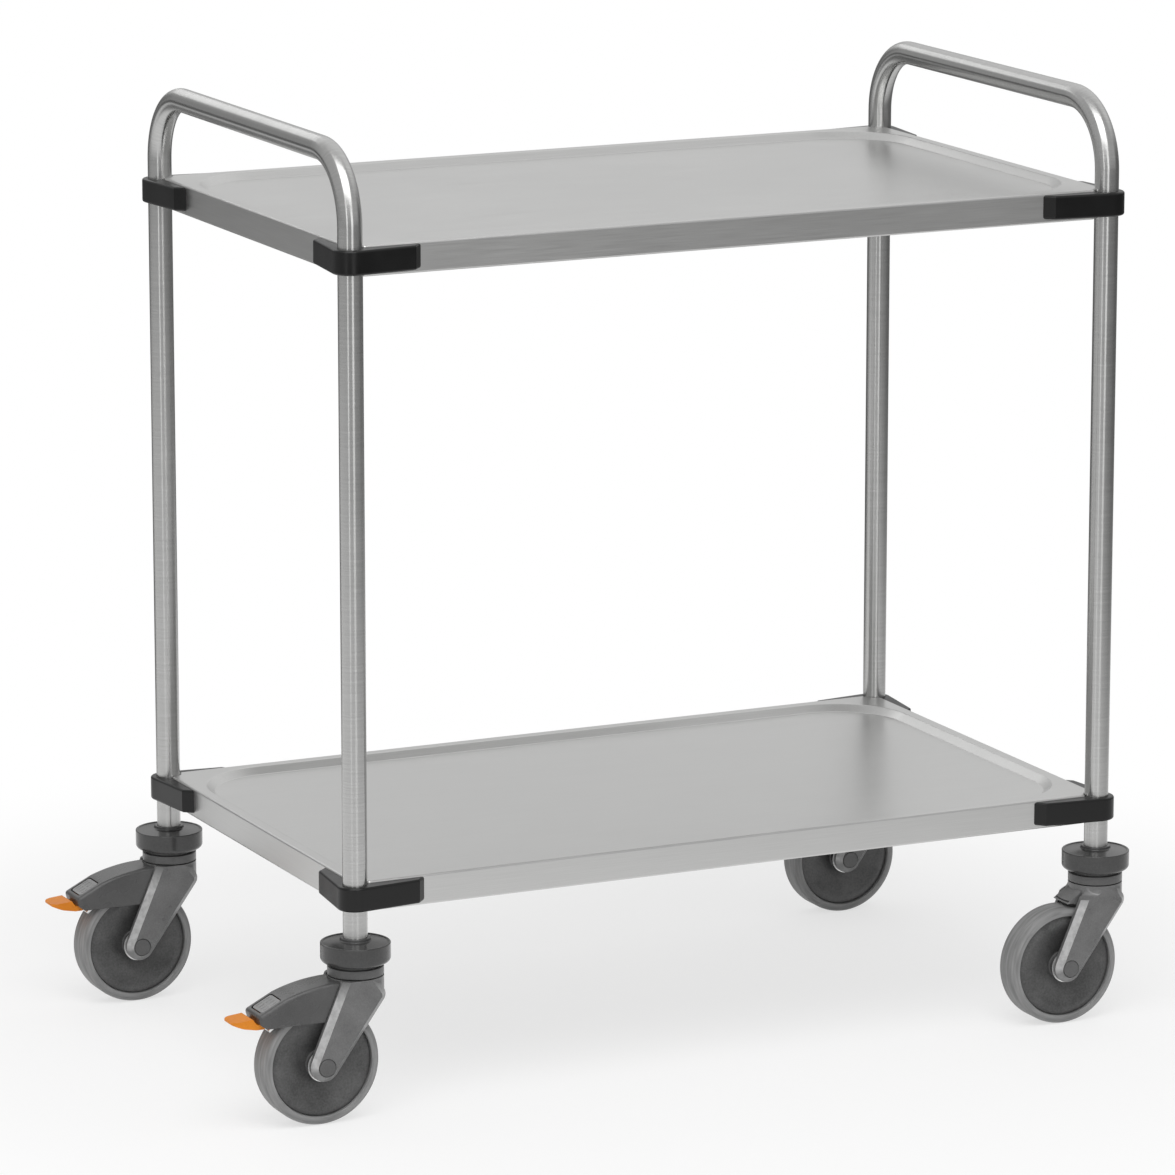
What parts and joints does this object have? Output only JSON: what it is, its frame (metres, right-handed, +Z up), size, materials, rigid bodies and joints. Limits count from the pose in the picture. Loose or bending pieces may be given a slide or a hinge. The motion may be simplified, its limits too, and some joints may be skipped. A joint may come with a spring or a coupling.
{
  "type": "serving trolley",
  "caption": "Stainless serving trolley: pressed shelves clamped by corner caps to bent tube end frames with push handles, rolling on swivel castors, the left pair with foot brakes.",
  "frame": {"origin": "middle of the overall box, on the floor under the wheels", "axes": "+X along the shelves from the braked end to the other end, +Y across the trolley away from the pictured long side, +Z up"},
  "size_m": [1.0223, 0.569, 0.983],
  "materials": {
    "stainless_tube": "ground and polished stainless tube",
    "stainless_sheet": "brushed stainless sheet",
    "black_plastic": "fine grained moulding",
    "castor_plastic": "satin glass filled moulding",
    "wheel_core_plastic": "smooth moulding",
    "grey_rubber": "non marking grey tread",
    "orange_plastic": "satin moulding",
    "pale_plastic": "satin moulding",
    "zinc_steel": "zinc plated",
    "bearing_steel": "polished balls"
  },
  "bodies": {
    "trolley_frame": {"left_end_frame": "stainless_tube", "right_end_frame": "stainless_tube", "upper_shelf": "stainless_sheet", "upper_corner_cap_front_left": "black_plastic", "upper_corner_cap_front_right": "black_plastic", "upper_corner_cap_back_left": "black_plastic", "upper_corner_cap_back_right": "black_plastic", "lower_shelf": "stainless_sheet", "lower_corner_cap_front_left": "black_plastic", "lower_corner_cap_front_right": "black_plastic", "lower_corner_cap_back_left": "black_plastic", "lower_corner_cap_back_right": "black_plastic", "corner_cap_screws": "zinc_steel", "castor_stems": "zinc_steel", "stem_expanders": "black_plastic", "swivel_balls": "bearing_steel", "bumper_disc_front_left": "castor_plastic", "swivel_ring_front_left": "castor_plastic", "bumper_disc_front_right": "castor_plastic", "swivel_ring_front_right": "castor_plastic", "bumper_disc_back_left": "castor_plastic", "swivel_ring_back_left": "castor_plastic", "bumper_disc_back_right": "castor_plastic", "swivel_ring_back_right": "castor_plastic"},
    "castor_front_left": {"castor_fork_front_left": "castor_plastic", "axle_front_left": "zinc_steel", "hub_washers_front_left": "zinc_steel", "brake_housing_front_left": "castor_plastic", "pedal_pin_front_left": "zinc_steel"},
    "wheel_front_left": {"wheel_core_front_left": "wheel_core_plastic", "wheel_tread_front_left": "grey_rubber", "wheel_bush_front_left": "pale_plastic"},
    "pedal_front_left": {"brake_pedal_front_left": "orange_plastic", "release_pad_front_left": "pale_plastic", "brake_shoe_front_left": "zinc_steel"},
    "castor_front_right": {"castor_fork_front_right": "castor_plastic", "axle_front_right": "zinc_steel", "hub_washers_front_right": "zinc_steel"},
    "wheel_front_right": {"wheel_core_front_right": "wheel_core_plastic", "wheel_tread_front_right": "grey_rubber", "wheel_bush_front_right": "pale_plastic"},
    "castor_back_left": {"castor_fork_back_left": "castor_plastic", "axle_back_left": "zinc_steel", "hub_washers_back_left": "zinc_steel", "brake_housing_back_left": "castor_plastic", "pedal_pin_back_left": "zinc_steel"},
    "wheel_back_left": {"wheel_core_back_left": "wheel_core_plastic", "wheel_tread_back_left": "grey_rubber", "wheel_bush_back_left": "pale_plastic"},
    "pedal_back_left": {"brake_pedal_back_left": "orange_plastic", "release_pad_back_left": "pale_plastic", "brake_shoe_back_left": "zinc_steel"},
    "castor_back_right": {"castor_fork_back_right": "castor_plastic", "axle_back_right": "zinc_steel", "hub_washers_back_right": "zinc_steel"},
    "wheel_back_right": {"wheel_core_back_right": "wheel_core_plastic", "wheel_tread_back_right": "grey_rubber", "wheel_bush_back_right": "pale_plastic"}
  },
  "joints": [
    {"name": "castor_swivel_front_left", "type": "hinge", "parent": "trolley_frame", "child": "castor_front_left", "pos_m": [-0.37225, -0.249, 0], "axis": [0, 0, 1], "continuous": true},
    {"name": "wheel_spin_front_left", "type": "hinge", "parent": "castor_front_left", "child": "wheel_front_left", "pos_m": [-0.41575, -0.249, 0.0625], "axis": [0, 1, 0], "continuous": true},
    {"name": "brake_pedal_front_left", "type": "hinge", "parent": "castor_front_left", "child": "pedal_front_left", "pos_m": [-0.46579, -0.249, 0.12205], "axis": [0, -1, 0], "range_deg": [0, 14]},
    {"name": "castor_swivel_front_right", "type": "hinge", "parent": "trolley_frame", "child": "castor_front_right", "pos_m": [0.47575, -0.249, 0], "axis": [0, 0, 1], "continuous": true},
    {"name": "wheel_spin_front_right", "type": "hinge", "parent": "castor_front_right", "child": "wheel_front_right", "pos_m": [0.43225, -0.249, 0.0625], "axis": [0, 1, 0], "continuous": true},
    {"name": "castor_swivel_back_left", "type": "hinge", "parent": "trolley_frame", "child": "castor_back_left", "pos_m": [-0.37225, 0.249, 0], "axis": [0, 0, 1], "continuous": true},
    {"name": "wheel_spin_back_left", "type": "hinge", "parent": "castor_back_left", "child": "wheel_back_left", "pos_m": [-0.41575, 0.249, 0.0625], "axis": [0, 1, 0], "continuous": true},
    {"name": "brake_pedal_back_left", "type": "hinge", "parent": "castor_back_left", "child": "pedal_back_left", "pos_m": [-0.46579, 0.249, 0.12205], "axis": [0, -1, 0], "range_deg": [0, 14]},
    {"name": "castor_swivel_back_right", "type": "hinge", "parent": "trolley_frame", "child": "castor_back_right", "pos_m": [0.47575, 0.249, 0], "axis": [0, 0, 1], "continuous": true},
    {"name": "wheel_spin_back_right", "type": "hinge", "parent": "castor_back_right", "child": "wheel_back_right", "pos_m": [0.43225, 0.249, 0.0625], "axis": [0, 1, 0], "continuous": true}
  ]
}
